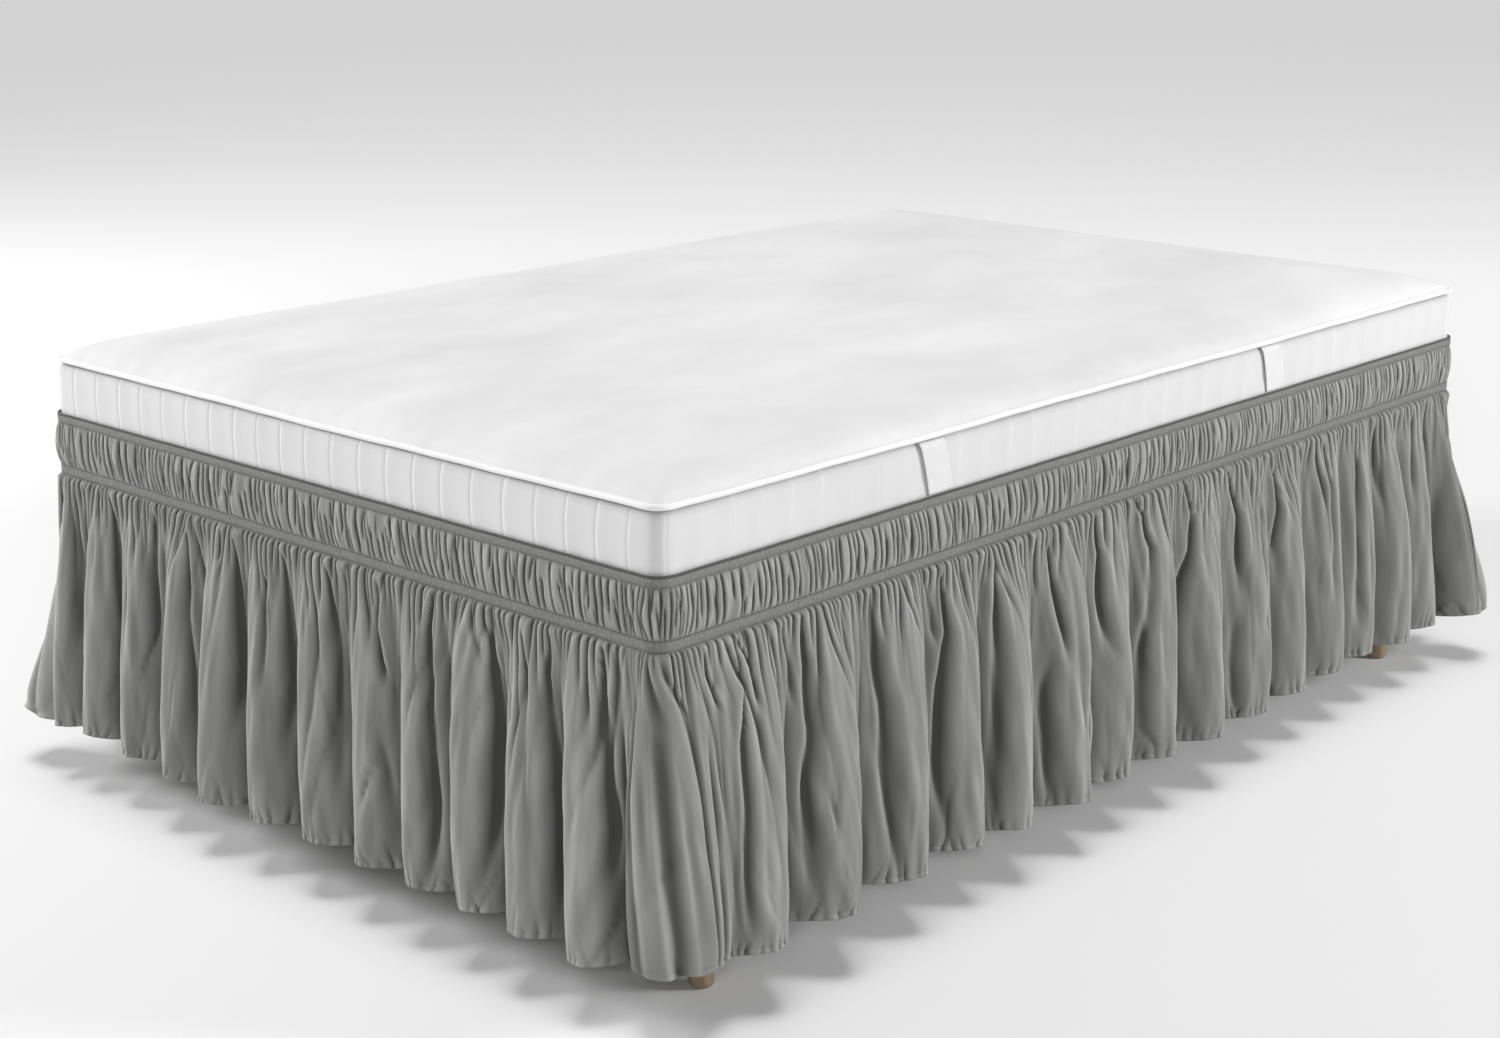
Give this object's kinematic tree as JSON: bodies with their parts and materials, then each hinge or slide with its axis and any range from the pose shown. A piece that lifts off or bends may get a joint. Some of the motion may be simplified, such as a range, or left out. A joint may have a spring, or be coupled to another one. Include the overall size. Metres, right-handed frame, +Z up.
{
  "type": "bed skirt on bed",
  "caption": "Gathered cloth bed skirt with an elastic heading, hanging in uneven folds round a mattress on a plain base with round legs.",
  "frame": {"origin": "on the floor under the middle of the bed", "axes": "+Y towards the head of the bed, +X to the right seen from the foot, +Z up"},
  "size_m": [1.3934, 2.0368, 0.667],
  "materials": {
    "skirt_cloth": "brushed grey microfibre, matt with a soft sheen",
    "elastic": "ribbed grey elastic with two rows of stitches",
    "mattress_ticking": "white ticking with a stitched border and white piping",
    "webbing": "white woven webbing",
    "base_cloth": "plain pale grey cover cloth",
    "leg_wood": "pale brown beech, satin"
  },
  "bodies": {
    "root": {"skirt_cloth": "skirt_cloth", "upper_elastic": "elastic", "lower_elastic": "elastic", "mattress": "mattress_ticking", "handle_foot_left": "webbing", "handle_foot_right": "webbing", "handle_head_left": "webbing", "handle_head_right": "webbing", "bed_base": "base_cloth", "leg_foot_left": "leg_wood", "leg_foot_right": "leg_wood", "leg_head_left": "leg_wood", "leg_head_right": "leg_wood"}
  },
  "joints": []
}
